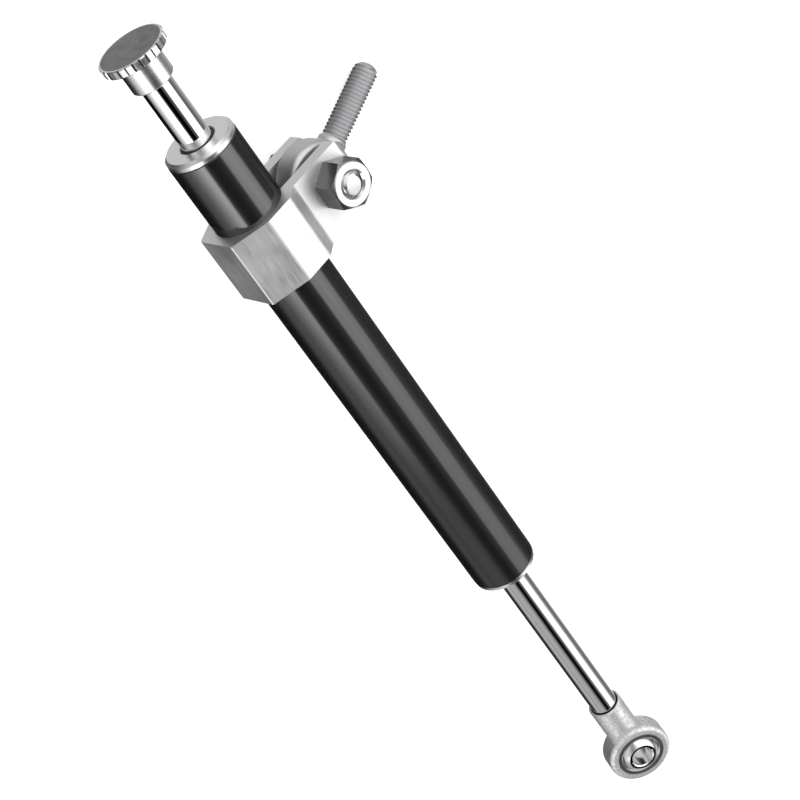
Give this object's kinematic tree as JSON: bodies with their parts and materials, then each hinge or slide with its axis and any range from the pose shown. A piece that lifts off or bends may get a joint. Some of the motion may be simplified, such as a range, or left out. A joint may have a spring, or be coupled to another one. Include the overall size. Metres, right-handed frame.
{
  "type": "motorcycle steering damper",
  "caption": "Slim through-rod hydraulic steering damper with an adjuster knob, a ball-jointed rod end and a tube clamp that carries a threaded ball-joint stud.",
  "frame": {"origin": "centre of the rod-end ball, on the axis of the rod", "axes": "+X along the damper from the rod end to the adjuster knob, +Z along the bore of the rod end, +Y completes the right hand; the clamp's ears point towards -Y"},
  "size_m": [0.3471, 0.0727, 0.0421],
  "materials": {
    "black_anodised": "satin black anodising",
    "silver_aluminium": "turned and satin",
    "knob_aluminium": "turned, fluted rim",
    "brushed_clamp": "milled and brushed",
    "bronze": "sintered",
    "seal_rubber": "matte black",
    "ring_plastic": "filled fluoroplastic",
    "spring_steel": "hard drawn",
    "plain_steel": "turned",
    "hard_chrome": "hard chromed and ground",
    "zinc_steel": "zinc plated",
    "race_steel": "turned",
    "polished_ball": "polished"
  },
  "bodies": {
    "cylinder": {"damper_tube": "black_anodised", "bottom_end_cap": "silver_aluminium", "top_end_cap": "silver_aluminium", "bottom_rod_bush": "bronze", "top_rod_bush": "bronze", "bottom_rod_seal": "seal_rubber", "top_rod_seal": "seal_rubber", "bottom_wiper": "seal_rubber", "top_wiper": "seal_rubber", "bottom_cap_o_ring": "seal_rubber", "top_cap_o_ring": "seal_rubber"},
    "ring": {"piston_ring": "ring_plastic"},
    "rod": {"piston_rod": "hard_chrome", "piston": "silver_aluminium", "piston_clips": "spring_steel", "rod_end_housing": "zinc_steel", "rod_end_race": "race_steel", "adjuster_collar": "silver_aluminium"},
    "eye_ball": {"rod_end_ball": "polished_ball"},
    "knob": {"adjuster_knob": "knob_aluminium", "adjuster_screw": "plain_steel", "detent_ball": "spring_steel", "detent_spring": "spring_steel"},
    "needle": {"metering_needle": "plain_steel", "needle_o_ring": "seal_rubber"},
    "clamp": {"clamp_body": "brushed_clamp", "clamp_bolt": "zinc_steel", "clamp_nut": "zinc_steel", "stud_end_ball": "polished_ball"},
    "frame_stud": {"stud_end_housing": "zinc_steel", "stud_end_race": "race_steel"}
  },
  "joints": [
    {"name": "rod_slide", "type": "slide", "parent": "cylinder", "child": "ring", "axis": [1, 0, 0], "range_m": [-0.0209, 0.0776]},
    {"name": "rod_turn", "type": "hinge", "parent": "ring", "child": "rod", "pos_m": [0, 0, 0], "axis": [1, 0, 0], "continuous": true},
    {"name": "rod_end_swivel", "type": "hinge", "parent": "rod", "child": "eye_ball", "pos_m": [0, 0, 0], "axis": [0, 0, 1], "continuous": true},
    {"name": "adjuster_turn", "type": "hinge", "parent": "rod", "child": "knob", "pos_m": [0.3237, 0, 0], "axis": [1, 0, 0], "range_deg": [-270, 270]},
    {"name": "needle_feed", "type": "slide", "parent": "rod", "child": "needle", "axis": [1, 0, 0], "range_m": [-0.00037, 0.00037]},
    {"name": "clamp_slide", "type": "slide", "parent": "cylinder", "child": "clamp", "axis": [1, 0, 0], "range_m": [-0.1399, 0.0242]},
    {"name": "stud_swing", "type": "hinge", "parent": "clamp", "child": "frame_stud", "pos_m": [0.26355, -0.02175, -0.01014], "axis": [0, -0.4226, 0.9063], "range_deg": [-120, 82]}
  ],
  "couplings": [
    {"joint": "adjuster_turn", "follows": "needle_feed", "rad_per_m": 12566}
  ]
}
